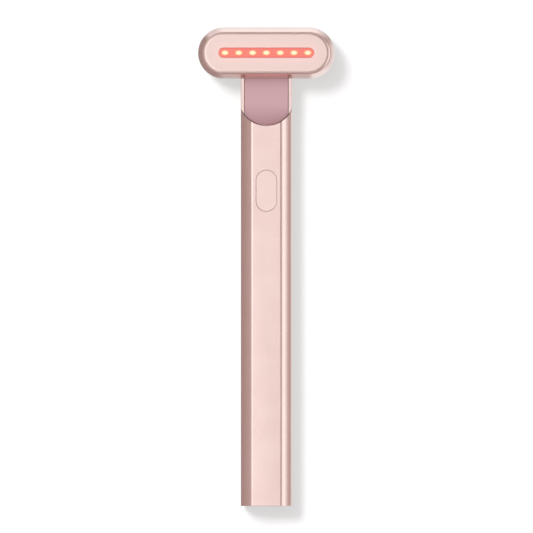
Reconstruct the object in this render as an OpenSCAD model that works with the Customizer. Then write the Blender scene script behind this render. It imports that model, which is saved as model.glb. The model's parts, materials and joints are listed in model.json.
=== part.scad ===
// Skincare light wand: a slim handle and a stadium head on a swivelling neck.
// It lies on its back: X runs across, Y along the wand towards the head, Z up out of its front.
// The origin is the middle of the rest plane. All sizes are in millimetres.

/* [Overall] */
// Length of the wand from tail to head
wand_length = 154; // [152:1:158]
// Depth of the head, from the rest plane up to the treatment plate
head_top = 14.4; // [14.4:0.1:15]

/* [Handle] */
// Width of the handle
handle_width = 16.4; // [16.2:0.1:16.6]
// Depth of the handle
handle_depth = 12; // [12:0.1:12.4]
// Radius of the four long corners of the handle
handle_corner = 3.8; // [3.6:0.1:4]
// Wall of the handle tube
tube_wall = 1; // [0.9:0.05:1.05]

/* [Swivel] */
// Distance from the swivel axis up to the middle of the head
swivel_drop = 14.55; // [14.5:0.05:14.9]
// Radius of the hollow that the neck turns in
fork_radius = 9; // [8.95:0.01:9.05]
// Gap between the two curved faces of the joint
seam_gap = 0.18; // [0.15:0.01:0.2]
// Height of the handle's half of the lap joint
lap_height = 5.2; // [5.1:0.05:5.2]
// Gap between the two flat faces of the lap joint
lap_gap = 0.4; // [0.4:0.05:0.5]
// Diameter of the hollow spindle
spindle_diameter = 6; // [5.8:0.1:6.2]

/* [Head] */
// Length of the head across the wand
head_length = 44; // [43:0.5:46]
// Width of the head along the wand
head_width = 16.4; // [16.3:0.1:16.8]
// Width of the rim at the two round ends of the treatment plate
rim_end_width = 2.2; // [2.1:0.05:2.3]
// Width of the rim along the two long sides of the treatment plate
rim_side_width = 1.8; // [1.75:0.05:1.9]
// Length of the light window
window_length = 30.7; // [30:0.1:31]
// Width of the light window
window_width = 3.2; // [3.1:0.1:3.4]
// Number of lamps behind the window
lamp_count = 7; // [5:1:7]
// Distance between lamps
lamp_pitch = 4.44; // [4.3:0.01:4.45]

/* [Button] */
// Width of the button opening
button_width = 6.8; // [6.6:0.1:7]
// Length of the button opening
button_length = 13.4; // [13:0.1:13.8]
// Gap around the button
button_gap = 0.2; // [0.15:0.01:0.25]
// Distance from the swivel axis down to the middle of the button
button_drop = 29.8; // [29.4:0.1:30.2]
// Travel of the button
button_travel = 0.3; // [0.2:0.05:0.35]

/* [Charging socket] */
// Width of the socket shell, a common reversible charging type
socket_width = 8.94; // [8.94:0.01:8.95]
// Height of the socket shell
socket_height = 3.16; // [3.16:0.01:3.17]
// Thickness of the socket's sheet metal
socket_wall = 0.3; // [0.25:0.05:0.3]
// Length of the socket shell
socket_length = 7.35; // [7.2:0.05:7.4]

/* [Hidden] */
$fn = 64;
slack = 1;
nip = 0.05;

tail_y = -wand_length / 2;
head_y = wand_length / 2 - head_width / 2;
head_side_y = head_y - head_width / 2;
pivot_y = head_y - swivel_drop;
lug_radius = fork_radius - seam_gap;
handle_half = handle_width / 2;
cavity_top = handle_depth - tube_wall;

// Heights in the neck, counted from the rest plane
neck_back = 0.4;
deck_bottom = lap_height + lap_gap;
deck_top = deck_bottom + 1.2;
neck_top = 9.6;
neck_edge = 0.15;
pocket_radius = lug_radius - 1.6;
cover_ledge = 8.6;
cover_top = neck_top - 0.1;
cover_roll_y = pivot_y - 1.5;
cover_roll_radius = 18;
cover_lip_y = pivot_y - 2;
cover_lip_bottom = 7.4;
strip_width = 1;
ledge_width = 0.6;
tongue_length = 14;

// Spindle, bush and the washers under the lug
spindle_bottom = 2;
spindle_flange_diameter = 9;
spindle_flange = 0.8;
cable_bore = 4;
bush_wall = 0.75;
bush_bore = spindle_diameter + 0.1;
bush_collar_diameter = 10;
lug_web_bottom = 3.6;
pocket_diameter = 10.4;
washer_diameter = 9.6;
washer_bottom = 3.25;
spring_bottom = 2.7;
clip_bottom = 2.35;
clip_thickness = 0.3;
groove_diameter = spindle_diameter - 0.8;

// Inside of the handle
core_length = 15.7;
board_bottom = 7.1;
board_top = board_bottom + 0.8;
board_width = 12.6;
board_end_gap = 20.7;
chassis_gap = 0.1;
chassis_wall = 0.7;
cap_thickness = 2;
cap_gap = 0.05;
socket_z = board_bottom - socket_height / 2;
socket_recess = 0.1;
cell_size = [11, 58, 4.8];
cell_y = tail_y + 60;
pad_thickness = 0.25;
screw_diameter = 1.6;
screw_x = 4.9;
screw_z = 3.1;

// Inside of the head
shell_floor = 1.2;
crown_width = 2;
crown_radius = 0.9;
flank_drop = 7;
crown_drop = flank_drop - crown_radius;
flank_radius = (pow(crown_width, 2) + pow(crown_drop, 2) - pow(crown_radius, 2))
    / (2 * (crown_width - crown_radius));
ledge_height = head_top - 1.4;
plate_thickness = 1;
plate_bottom = head_top - plate_thickness;
plate_gap = 0.1;
plate_edge = 0.25;
recess_length = head_length - 2 * rim_end_width;
recess_width = head_width - 2 * rim_side_width;
shelf = 0.6;
well_length = recess_length - 2 * shelf;
well_width = recess_width - 2 * shelf;
lamp_board_bottom = 11.3;
lamp_board_top = lamp_board_bottom + 0.8;
post_x = 16.6;
post_diameter = 3.6;
head_screw_x = 5.4;
wire_diameter = 0.7;
wire_pitch = 0.8;
bundle_diameter = 1.6;
bundle_z = deck_top + 0.95;

// Colours
rose = "#efd5cf";
rose_plate = "#f1dad5";
mauve = "#cba6ab";
lit_red = "#ff9489";
steel = "#b9babd";
brass = "#c9a45c";
board_green = "#2f6b4f";
dark_plastic = "#3b3b40";
pale_plastic = "#e6e2de";
rubber = "#55504f";

// Flat outlines

// Rectangle with round corners, centred
module rounded_rect(w, h, r) {
    square([w - 2 * r, h], center = true);
    square([w, h - 2 * r], center = true);
    for (sx = [-1, 1], sy = [-1, 1])
        translate([sx * (w / 2 - r), sy * (h / 2 - r)]) circle(r = r);
}

// Bar with two half-round ends, lying along x, centred
module stadium(length, width) {
    square([length - width, width], center = true);
    for (s = [-1, 1])
        translate([s * (length - width) / 2, 0]) circle(d = width);
}

// Cross-section of the handle, shrunk all round by an inset
module handle_section(inset) {
    translate([0, handle_depth / 2])
        rounded_rect(handle_width - 2 * inset, handle_depth - 2 * inset, handle_corner - inset);
}

// Right half of the neck's cross-section: round at the back, square at the front
module neck_half_section() {
    corner_x = handle_half - handle_corner;
    corner_z = neck_back + handle_corner;
    translate([0, neck_back]) square([corner_x, handle_corner + slack]);
    translate([corner_x, corner_z]) intersection() {
        circle(r = handle_corner);
        translate([-handle_corner / 2, -handle_corner]) square(handle_corner * 1.5);
    }
    translate([0, corner_z]) square([handle_half, neck_top - neck_edge - corner_z]);
    translate([0, corner_z]) square([handle_half - neck_edge, neck_top - corner_z]);
    translate([handle_half - neck_edge, neck_top - neck_edge]) circle(r = neck_edge);
}

// The handle's side of the swivel: everything below the axis and a round end above it
module handle_side(r) {
    translate([-head_length, tail_y - slack]) square([2 * head_length, pivot_y - tail_y + slack]);
    translate([0, pivot_y]) circle(r = r);
}

// The head's side of the swivel: everything above the axis and a round end below it
module head_side(r) {
    translate([-head_length, pivot_y]) square([2 * head_length, wand_length]);
    translate([0, pivot_y]) circle(r = r);
}

// Solid helpers

// Extrudes an x-z outline from y0 up to y1
module along_y(y0, y1) {
    translate([0, y1, 0]) rotate([90, 0, 0]) linear_extrude(y1 - y0) children();
}

// Extrudes an x-y outline from z0 up to z1
module slab(z0, z1) {
    translate([0, 0, z0]) linear_extrude(z1 - z0) children();
}

// Upright round tube about a point; a bore of zero makes it a rod
module tube(x, y, z0, z1, outer, bore = 0) {
    translate([x, y, 0]) difference() {
        translate([0, 0, z0]) cylinder(d = outer, h = z1 - z0);
        if (bore > 0)
            translate([0, 0, z0 - slack]) cylinder(d = bore, h = z1 - z0 + 2 * slack);
    }
}

// Box centred on x and y, between two heights
module block(x, y, z0, z1, w, l) {
    translate([x - w / 2, y - l / 2, z0]) cube([w, l, z1 - z0]);
}

// Round rod along y
module rod(x, z, y0, y1, d) {
    translate([x, y1, z]) rotate([90, 0, 0]) cylinder(d = d, h = y1 - y0);
}

// Quarter bend of a wire in the y-z plane about (y, z), from one angle on by 90 degrees
module wire_bend(x, y, z, bend, d, from) {
    translate([x, y, z]) rotate([90, 0, 90])
        rotate_extrude(angle = 90, start = from) translate([bend, 0]) circle(d = d);
}

// Sweeps a half outline round a spine along x, centred on the head
module around_head(spine) {
    translate([-spine / 2, head_y, 0]) rotate([90, 0, 90]) linear_extrude(spine) {
        children();
        mirror([1, 0]) children();
    }
    for (s = [-1, 1])
        translate([s * spine / 2, head_y, 0])
            rotate_extrude(angle = 360, start = 0) children();
}

// Half outline of the head's cup: a wide arc up the flank that ends in the rim's small crown
module cup_half_section() {
    half = head_width / 2;
    flank_z = head_top - flank_drop;
    floor_z = deck_bottom + shell_floor;
    meet = flank_radius * crown_drop / (flank_radius - crown_radius);
    translate([0, deck_bottom]) square([half - shell_floor, flank_z - deck_bottom]);
    translate([half - shell_floor, floor_z]) circle(r = shell_floor);
    translate([0, floor_z]) square([half, flank_z - floor_z]);
    translate([0, flank_z]) intersection() {
        square([half, meet]);
        translate([half - flank_radius, 0]) circle(r = flank_radius);
    }
    translate([0, flank_z]) square([half - crown_width, flank_drop]);
    translate([half - crown_width, head_top - crown_radius]) circle(r = crown_radius);
}

// Half outline of the treatment plate with its softened top edge
module plate_half_section() {
    half = recess_width / 2 - plate_gap;
    translate([0, plate_bottom]) {
        square([half, plate_thickness - plate_edge]);
        square([half - plate_edge, plate_thickness]);
        translate([half - plate_edge, plate_thickness - plate_edge]) circle(r = plate_edge);
    }
}

// Straight-sided stadium slab, centred on the head
module head_slab(length, width, z0, z1) {
    slab(z0, z1) translate([0, head_y]) stadium(length, width);
}

// Small screw standing upright, its head on top
module upright_screw(x, y, seat, shank, head_d) {
    tube(x, y, seat - shank, seat + nip, screw_diameter);
    difference() {
        tube(x, y, seat, seat + 0.7, head_d);
        for (turn = [0, 90])
            translate([x, y, seat + 0.7]) rotate([0, 0, turn])
                cube([head_d * 0.6, 0.35, 0.7], center = true);
    }
}

// Handle and what it holds

// Drawn tube: closed back and sides, a round lug below and a hollow fork above
module handle_tube() {
    color(rose) difference() {
        along_y(tail_y, pivot_y + lug_radius + slack) handle_section(0);
        along_y(tail_y - slack, pivot_y + lug_radius + 2 * slack) handle_section(tube_wall);
        slab(lap_height, handle_depth + slack) head_side(fork_radius);
        slab(-slack, handle_depth) difference() {
            translate([-head_length, pivot_y]) square([2 * head_length, wand_length]);
            translate([0, pivot_y]) circle(r = lug_radius);
        }
        slab(cavity_top - slack, handle_depth + slack)
            translate([0, pivot_y - button_drop]) rotate(90) stadium(button_length, button_width);
    }
}

// Moulded core that fills the lug and closes the tube behind the curved seam
module lug_core() {
    core_y = pivot_y - core_length;
    bulkhead = 1.2;
    color(rose) difference() {
        intersection() {
            along_y(core_y, pivot_y + fork_radius) handle_section(tube_wall);
            union() {
                slab(0, lap_height) handle_side(lug_radius);
                slab(lap_height - nip, handle_depth) difference() {
                    translate([0, pivot_y]) circle(r = fork_radius + bulkhead);
                    head_side(fork_radius);
                }
            }
        }
        tube(0, pivot_y, 0, lug_web_bottom, pocket_diameter);
        tube(0, pivot_y, 0, lap_height + nip, spindle_diameter + 2 * bush_wall + 0.1);
        block(0, pivot_y - core_length / 2 - slack, 0, 2.2, 3 * wire_pitch + 0.4, core_length);
    }
}

// Flanged bush that the spindle turns in
module pivot_bush() {
    outer = spindle_diameter + 2 * bush_wall + 0.1;
    color(brass) union() {
        tube(0, pivot_y, lug_web_bottom, lap_height + nip, outer, bush_bore);
        tube(0, pivot_y, lap_height, deck_bottom - nip, bush_collar_diameter, bush_bore);
    }
}

// Tray that slides into the tube and carries the cell and the board
module chassis() {
    front_y = tail_y + cap_thickness;
    back_y = pivot_y - core_length - 4;
    inner_half = board_width / 2 + chassis_gap;
    boss_diameter = 2.3;
    color(pale_plastic) difference() {
        union() {
            difference() {
                along_y(front_y, back_y) handle_section(tube_wall + chassis_gap);
                along_y(front_y - slack, back_y + slack)
                    handle_section(tube_wall + chassis_gap + chassis_wall);
                slab(board_bottom + 1.4, handle_depth)
                    translate([-handle_width, tail_y]) square([2 * handle_width, wand_length]);
            }
            for (y = [cell_y - cell_size.y / 2 - 1, cell_y + cell_size.y / 2 + 4])
                block(0, y, tube_wall + 0.5, board_bottom - 1.6, 2 * inner_half - 1.6, 1);
            for (s = [-1, 1])
                intersection() {
                    along_y(front_y, back_y) handle_section(tube_wall + chassis_gap);
                    block(s * (inner_half - 0.2), (front_y + back_y) / 2, board_bottom - 0.8,
                          board_bottom, 1.2, back_y - front_y - 12);
                }
            block(0, front_y + 3.2, tube_wall + 0.5, socket_z - socket_height / 2, 8, 5);
            for (s = [-1, 1])
                rod(s * screw_x, screw_z, front_y, front_y + 5, boss_diameter);
        }
        for (s = [-1, 1])
            rod(s * screw_x, screw_z, front_y - slack, front_y + 4, screw_diameter - 0.3);
        block(0, back_y, board_bottom - 3, handle_depth, 2 * inner_half - 3, 8);
    }
}

// Long narrow circuit board
module main_board() {
    board_y0 = tail_y + cap_thickness + 0.4;
    board_y1 = pivot_y - board_end_gap;
    color(board_green) slab(board_bottom, board_top) difference() {
        translate([0, (board_y0 + board_y1) / 2])
            rounded_rect(board_width, board_y1 - board_y0, 0.8);
        for (s = [-1, 1])
            translate([s * (board_width / 2 - 1.6), board_y1 - 2]) circle(d = 1.2);
    }
}

// Chips and other parts on the front of the board
module board_chips() {
    chips_y = [-58, -44, -30, -6, 8];
    chips_w = [5, 3, 6, 4, 3];
    chips_l = [5, 4, 6, 4, 3];
    color(dark_plastic) {
        for (i = [0 : len(chips_y) - 1])
            block(0, chips_y[i], board_top, board_top + 0.9, chips_w[i], chips_l[i]);
        for (i = [0 : 5])
            block(4.6, -50 + 9 * i, board_top, board_top + 0.5, 1, 1.6);
    }
}

// Square push switch under the button
module tact_switch() {
    switch_y = pivot_y - button_drop;
    color(steel) difference() {
        union() {
            block(0, switch_y, board_top, board_top + 1.4, 4.5, 4.5);
            for (sx = [-1, 1], sy = [-1, 1])
                block(sx * 2.7, switch_y + sy * 1.6, board_top, board_top + 0.2, 1.4, 0.7);
        }
        tube(0, switch_y, board_top + 0.2, board_top + 2, 2.3);
    }
}

// Flat rechargeable cell with rounded long edges
module battery_cell() {
    edge = 1.4;
    cell_z = tube_wall + chassis_gap + chassis_wall + pad_thickness;
    color(steel) along_y(cell_y - cell_size.y / 2, cell_y + cell_size.y / 2)
        translate([0, cell_z + cell_size.z / 2]) rounded_rect(cell_size.x, cell_size.z, edge);
}

// Double-sided foam pad under the cell
module battery_pad() {
    pad_z = tube_wall + chassis_gap + chassis_wall;
    color(rubber) block(0, cell_y, pad_z, pad_z + pad_thickness, cell_size.x - 3.4, cell_size.y - 6);
}

// Two leads from the cell up to the back of the board
module battery_leads() {
    lead_d = 1;
    lead_bend = 0.9;
    lead_z = 5.4;
    end_y = cell_y + cell_size.y / 2;
    color(dark_plastic) for (s = [-1, 1]) {
        x = s * 1.6;
        rod(x, lead_z, end_y, end_y + 0.6, lead_d);
        wire_bend(x, end_y + 0.6, lead_z + lead_bend, lead_bend, lead_d, 270);
        tube(x, end_y + 0.6 + lead_bend, lead_z + lead_bend, board_bottom, lead_d);
    }
}

// Spring finger that joins the board to the metal tube
module tube_contact() {
    foot_y = -20;
    sheet = 0.2;
    color(brass) {
        block(0, foot_y, board_top, board_top + sheet, 3, 4);
        block(0, foot_y - 2 + sheet / 2, board_top, cavity_top - 0.7, 3, sheet);
        difference() {
            translate([-1.5, foot_y - 1.3, cavity_top - 0.7]) rotate([0, 90, 0])
                cylinder(r = 0.7, h = 3);
            translate([-2, foot_y - 1.3, cavity_top - 0.7]) rotate([0, 90, 0])
                cylinder(r = 0.7 - sheet, h = 4);
            block(0, foot_y - 1.3, cavity_top - 2, cavity_top - 0.7, 4, 3);
        }
    }
}

// Three wires from the board through the core to the swivel axis
module handle_harness() {
    fall = 1.2;
    rise = 0.9;
    plug_z = board_top + 1;
    run_z = tube_wall + 0.1 + wire_diameter / 2;
    start_y = pivot_y - board_end_gap - 0.5;
    drop_y = start_y + 2;
    color("#a33a36") for (i = [-1 : 1]) {
        x = i * wire_pitch;
        rod(x, plug_z, start_y, drop_y, wire_diameter);
        wire_bend(x, drop_y, plug_z - fall, fall, wire_diameter, 0);
        tube(x, drop_y + fall, run_z + fall, plug_z - fall, wire_diameter);
        wire_bend(x, drop_y + 2 * fall, run_z + fall, fall, wire_diameter, 180);
        rod(x, run_z, drop_y + 2 * fall, pivot_y - rise, wire_diameter);
        wire_bend(x, pivot_y - rise, run_z + rise, rise, wire_diameter, 270);
        tube(x, pivot_y, run_z + rise, run_z + rise + 0.15, wire_diameter);
    }
}

// Plug of the harness on the head end of the board
module harness_plug() {
    plug_y = pivot_y - board_end_gap - 2;
    color(pale_plastic) difference() {
        block(0, plug_y, board_top, board_top + 2, 4.4, 3);
        for (i = [-1 : 1])
            rod(i * wire_pitch, board_top + 1, plug_y + 0.9, plug_y + 4, wire_diameter);
    }
}

// Folded metal shell of the charging socket
module charge_socket_shell() {
    mouth_y = tail_y + socket_recess;
    color(steel) difference() {
        along_y(mouth_y, mouth_y + socket_length)
            translate([0, socket_z]) stadium(socket_width, socket_height);
        along_y(mouth_y - slack, mouth_y + socket_length - socket_wall)
            translate([0, socket_z])
                stadium(socket_width - 2 * socket_wall, socket_height - 2 * socket_wall);
    }
}

// Contact tongue in the middle of the socket
module charge_socket_tongue() {
    rear_y = tail_y + socket_recess + socket_length - socket_wall;
    color(dark_plastic) {
        along_y(rear_y - 6.2, rear_y)
            translate([0, socket_z]) rounded_rect(6.69, 0.7, 0.2);
        along_y(rear_y - 1.4, rear_y)
            translate([0, socket_z])
                stadium(socket_width - 2 * socket_wall, socket_height - 2 * socket_wall);
    }
}

// Plug that closes the tail, flush with the end of the tube
module tail_cap() {
    groove_inset = 0.6;
    head_depth = 0.8;
    color(rose) difference() {
        along_y(tail_y, tail_y + cap_thickness) handle_section(tube_wall + cap_gap);
        along_y(tail_y + 0.7, tail_y + 1.5) difference() {
            handle_section(0);
            handle_section(tube_wall + groove_inset);
        }
        along_y(tail_y - slack, tail_y + cap_thickness + slack)
            translate([0, socket_z]) stadium(socket_width + 2 * cap_gap, socket_height + 2 * cap_gap);
        for (s = [-1, 1]) {
            rod(s * screw_x, screw_z, tail_y - slack, tail_y + head_depth, 2.2);
            rod(s * screw_x, screw_z, tail_y, tail_y + cap_thickness + slack, screw_diameter);
        }
    }
}

// Rubber ring in the groove of the tail cap
module tail_seal() {
    color(rubber) along_y(tail_y + 0.7, tail_y + 1.5) difference() {
        handle_section(tube_wall);
        handle_section(tube_wall + 0.6);
    }
}

// Two small screws that draw the cap onto the chassis
module tail_screws() {
    color(steel) for (s = [-1, 1]) difference() {
        union() {
            rod(s * screw_x, screw_z, tail_y + 0.1, tail_y + 0.8, 2.1);
            rod(s * screw_x, screw_z, tail_y + 0.7, tail_y + cap_thickness, screw_diameter);
            rod(s * screw_x, screw_z, tail_y + 1, tail_y + 5.4, screw_diameter - 0.3);
        }
        for (turn = [0, 90])
            translate([s * screw_x, tail_y + 0.1, screw_z]) rotate([0, turn, 0])
                cube([1.3, 0.7, 0.3], center = true);
    }
}

// Neck and what turns with it

// Moulded neck: a deck with two side strips, and a block that passes on under the head
module neck_frame() {
    tongue_half = handle_half - strip_width;
    tongue_end = head_side_y + tongue_length;
    color(rose) difference() {
        union() {
            intersection() {
                along_y(pivot_y - fork_radius, head_side_y) {
                    neck_half_section();
                    mirror([1, 0]) neck_half_section();
                }
                slab(deck_bottom, neck_top + slack) head_side(lug_radius);
            }
            slab(deck_bottom, deck_top) translate([-tongue_half, head_side_y - slack])
                square([2 * tongue_half, tongue_end - head_side_y + slack]);
            difference() {
                union() {
                    along_y(pivot_y, head_y) {
                        neck_half_section();
                        mirror([1, 0]) neck_half_section();
                    }
                    translate([0, head_y, 0])
                        rotate_extrude(angle = 360, start = 0) neck_half_section();
                }
                slab(deck_bottom, neck_top + slack)
                    translate([-head_length, 0]) square([2 * head_length, wand_length]);
                slab(-slack, neck_top) head_side_block();
            }
        }
        neck_pocket(deck_top, 2 * (tongue_half - ledge_width), pocket_radius);
        neck_pocket(cover_ledge, 2 * tongue_half, lug_radius + slack);
        slab(cover_lip_bottom, neck_top) difference() {
            intersection() {
                translate([0, pivot_y]) circle(r = lug_radius + slack);
                translate([-tongue_half, 0]) square([2 * tongue_half, cover_lip_y]);
            }
            translate([0, pivot_y]) circle(r = pocket_radius);
        }
        tube(0, pivot_y, 0, deck_top + slack, spindle_diameter);
        for (s = [-1, 1])
            tube(s * head_screw_x, head_y, 2, deck_top + slack, screw_diameter);
    }
}

// Round hollow in which the lug's end turns, with all that lies below the axis
module head_side_block() {
    translate([0, pivot_y]) circle(r = fork_radius);
    translate([-head_length, 0]) square([2 * head_length, pivot_y]);
}

// Pocket in the neck from a floor height up, round at the swivel end
module neck_pocket(floor_z, width, r) {
    slab(floor_z, neck_top + slack) intersection() {
        head_side(r);
        translate([-width / 2, 0]) square([width, head_side_y + slack]);
    }
}

// Side outline of the inlay: flat, then rolled off towards the curved seam
module cover_side_outline() {
    translate([cover_roll_y, 0]) square([head_side_y - cover_roll_y, cover_top]);
    intersection() {
        square([cover_roll_y + slack, cover_top]);
        translate([cover_roll_y, cover_top - cover_roll_radius])
            circle(r = cover_roll_radius, $fn = 128);
    }
}

// Mauve inlay of the neck, with a deeper lip along the curved seam
module neck_cover() {
    half = handle_half - strip_width - nip;
    edge = lug_radius - nip;
    color(mauve) intersection() {
        translate([-half, 0, 0]) rotate([90, 0, 90]) linear_extrude(2 * half)
            cover_side_outline();
        union() {
            slab(cover_ledge, cover_top) head_side(edge);
            slab(cover_lip_bottom, cover_ledge + nip) difference() {
                translate([0, pivot_y]) circle(r = edge);
                intersection() {
                    translate([0, pivot_y]) circle(r = pocket_radius);
                    translate([-half, pivot_y - 5]) square([2 * half, wand_length]);
                }
                translate([-head_length, cover_lip_y]) square([2 * head_length, wand_length]);
            }
        }
    }
}

// Hollow spindle: the wires pass up its bore
module pivot_spindle() {
    color(steel) difference() {
        union() {
            tube(0, pivot_y, spindle_bottom, deck_top + nip, spindle_diameter);
            tube(0, pivot_y, deck_top, deck_top + spindle_flange, spindle_flange_diameter);
        }
        tube(0, pivot_y, 0, neck_top, cable_bore);
        difference() {
            tube(0, pivot_y, clip_bottom - nip, clip_bottom + clip_thickness + nip, pocket_diameter);
            tube(0, pivot_y, 0, neck_top, groove_diameter);
        }
        block(0, pivot_y + spindle_flange_diameter / 2, deck_top, neck_top,
              bundle_diameter + 0.4, spindle_flange_diameter);
    }
}

// Flat washer that bears on the underside of the lug
module thrust_washer() {
    color(brass) tube(0, pivot_y, washer_bottom, lug_web_bottom - nip, washer_diameter,
                      spindle_diameter + 0.1);
}

// Coned spring washer that gives the swivel its friction
module disc_spring() {
    sheet = 0.25;
    inner = spindle_diameter / 2 + 0.1;
    outer = washer_diameter / 2 - 0.2;
    color(steel) translate([0, pivot_y, 0])
        rotate_extrude(angle = 360, start = 0) polygon([
            [inner, spring_bottom], [outer, washer_bottom - sheet],
            [outer, washer_bottom], [inner, spring_bottom + sheet]
        ]);
}

// Open retaining ring in the spindle's groove
module circlip() {
    color(steel) difference() {
        union() {
            tube(0, pivot_y, clip_bottom, clip_bottom + clip_thickness, spindle_diameter + 1.8);
            for (s = [-1, 1])
                tube(s * 1.7, pivot_y - 3.9, clip_bottom, clip_bottom + clip_thickness, 1.4);
        }
        tube(0, pivot_y, 0, neck_top, groove_diameter);
        block(0, pivot_y - 4, 0, neck_top, 1.8, 4);
    }
}

// Bundle of wires from the spindle through the neck up to the lamp board
module neck_harness() {
    bend = 1.4;
    rise_y = head_side_y + rim_side_width + shelf + bundle_diameter / 2 + 0.2;
    color("#a33a36") {
        tube(0, pivot_y, 2.65, bundle_z - bend, bundle_diameter);
        wire_bend(0, pivot_y + bend, bundle_z - bend, bend, bundle_diameter, 90);
        rod(0, bundle_z, pivot_y + bend, rise_y - bend, bundle_diameter);
        wire_bend(0, rise_y - bend, bundle_z + bend, bend, bundle_diameter, 270);
        tube(0, rise_y, bundle_z + bend, lamp_board_bottom, bundle_diameter);
    }
}

// Moulded cup of the head with its rounded rim, plate seat and screw posts
module head_shell() {
    tongue_half = handle_half - strip_width;
    raised = deck_top + 1;
    color(rose) difference() {
        union() {
            difference() {
                around_head(head_length - head_width) cup_half_section();
                head_slab(recess_length, recess_width, ledge_height, head_top + slack);
                head_slab(well_length, well_width, deck_bottom + shell_floor, head_top);
            }
            intersection() {
                head_slab(well_length + nip, well_width + nip, deck_bottom + 0.5, raised);
                block(0, head_y, deck_bottom, raised, 2 * tongue_half + 2, head_width);
            }
            for (s = [-1, 1])
                tube(s * post_x, head_y, deck_bottom + 0.5, lamp_board_bottom, post_diameter);
        }
        block(0, head_side_y - slack + (tongue_length + slack) / 2, deck_bottom - slack, deck_top,
              2 * tongue_half, tongue_length + slack);
        block(0, head_side_y + 2.1, deck_top - nip, bundle_z + bundle_diameter / 2 + 0.2,
              bundle_diameter + 0.4, 5.6);
        for (s = [-1, 1]) {
            tube(s * head_screw_x, head_y, deck_bottom, raised + slack, screw_diameter);
            tube(s * post_x, head_y, lamp_board_bottom - 3, lamp_board_bottom + slack,
                 screw_diameter);
        }
    }
}

// Two screws that hold the head on the neck
module head_screws() {
    color(steel) for (s = [-1, 1])
        upright_screw(s * head_screw_x, head_y, deck_top + 1, deck_top - 1.6, 2.6);
}

// Metal treatment plate, flush in the rim, with its light slot
module face_plate() {
    color(rose_plate) difference() {
        around_head(recess_length - recess_width) plate_half_section();
        head_slab(window_length, window_width, plate_bottom - slack, head_top + slack);
    }
}

// Rubber ring between the plate and its seat
module plate_gasket() {
    color(rubber) difference() {
        head_slab(recess_length - 2 * plate_gap, recess_width - 2 * plate_gap, ledge_height,
                  plate_bottom);
        head_slab(well_length, well_width, ledge_height - slack, head_top);
    }
}

// Clear red window, held from behind by its flange
module light_window() {
    color(lit_red) union() {
        head_slab(window_length - 2 * nip, window_width - 2 * nip, plate_bottom - nip,
                  head_top - nip);
        head_slab(window_length + 1.9, window_width + 1.9, plate_bottom - 0.45, plate_bottom);
    }
}

// Board that carries the lamps
module led_board() {
    color(board_green) slab(lamp_board_bottom, lamp_board_top) difference() {
        translate([0, head_y]) stadium(well_length - 0.6, well_width - 0.6);
        for (s = [-1, 1])
            translate([s * post_x, head_y]) circle(d = screw_diameter);
    }
}

// Row of lamps, each a small body with a round lens
module leds() {
    color("#fff3c4") for (i = [0 : lamp_count - 1]) {
        x = (i - (lamp_count - 1) / 2) * lamp_pitch;
        block(x, head_y, lamp_board_top, lamp_board_top + 0.4, 2, 1.4);
        tube(x, head_y, lamp_board_top + 0.35, lamp_board_top + 0.7, 1.2);
    }
}

// Screws that hold the lamp board on its posts
module led_board_screws() {
    color(steel) for (s = [-1, 1])
        upright_screw(s * post_x, head_y, lamp_board_top, 3, 2.4);
}

// Thin heating film bonded behind the plate, around the window
module heater_film() {
    film_length = 33.6;
    color("#b8763a") difference() {
        head_slab(film_length, well_width - 0.6, plate_bottom - 0.2, plate_bottom);
        head_slab(window_length + 2.3, window_width + 2.3, ledge_height - slack, head_top);
    }
}

// Temperature sensor bead on the film
module thermistor() {
    color(dark_plastic) block(8, head_y + 4, plate_bottom - 0.7, plate_bottom - 0.2, 1.6, 0.8);
}

// Coin vibration motor on the raised floor of the head
module vibration_motor() {
    motor_z = deck_top + 1.1;
    color(steel) tube(0, head_y + 0.9, motor_z, motor_z + 2.7, 8);
}

// Adhesive pad under the motor
module motor_pad() {
    color(rubber) tube(0, head_y + 0.9, deck_top + 1, deck_top + 1.1, 7);
}

// Spring pin that joins the board to the metal plate
module electrode_pin() {
    pin_x = post_x + 1.7;
    color(brass) union() {
        tube(pin_x, head_y, lamp_board_top, lamp_board_top + 0.7, 0.9);
        tube(pin_x, head_y, lamp_board_top + 0.6, plate_bottom, 0.6);
    }
}

// The power button

// Flush stadium cap with a flange that keeps it in the tube
module button_cap() {
    button_y = pivot_y - button_drop;
    cap_length = button_length - 2 * button_gap;
    cap_width = button_width - 2 * button_gap;
    flange_top = cavity_top - 0.15;
    flange_bottom = flange_top - 0.55;
    color(rose) translate([0, button_y, 0]) difference() {
        union() {
            slab(flange_bottom, handle_depth) rotate(90) stadium(cap_length, cap_width);
            slab(flange_bottom, flange_top) rotate(90) stadium(cap_length + 2, cap_width + 2);
            tube(0, 0, board_top + 2, flange_top, 2.6);
        }
        slab(flange_bottom - slack, handle_depth - 0.9) difference() {
            rotate(90) stadium(cap_length - 1.8, cap_width - 1.8);
            circle(d = 2.6);
        }
    }
}

// Plunger of the push switch, carried down by the button
module switch_plunger() {
    plunger_top = board_top + 2;
    color(dark_plastic)
        tube(0, pivot_y - button_drop, plunger_top - 1.1 - button_travel, plunger_top, 2);
}

handle_tube();
lug_core();
pivot_bush();
chassis();
main_board();
board_chips();
tact_switch();
battery_cell();
battery_pad();
battery_leads();
tube_contact();
handle_harness();
harness_plug();
charge_socket_shell();
charge_socket_tongue();
tail_cap();
tail_seal();
tail_screws();
neck_frame();
neck_cover();
pivot_spindle();
thrust_washer();
disc_spring();
circlip();
neck_harness();
head_shell();
head_screws();
face_plate();
plate_gasket();
light_window();
led_board();
leds();
led_board_screws();
heater_film();
thermistor();
vibration_motor();
motor_pad();
electrode_pin();
button_cap();
switch_plunger();
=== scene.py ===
"""Looks of a skincare wand with a swivelling light head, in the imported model's own frame."""
import json
import logging
import math
from dataclasses import dataclass, field
from enum import Enum

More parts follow.
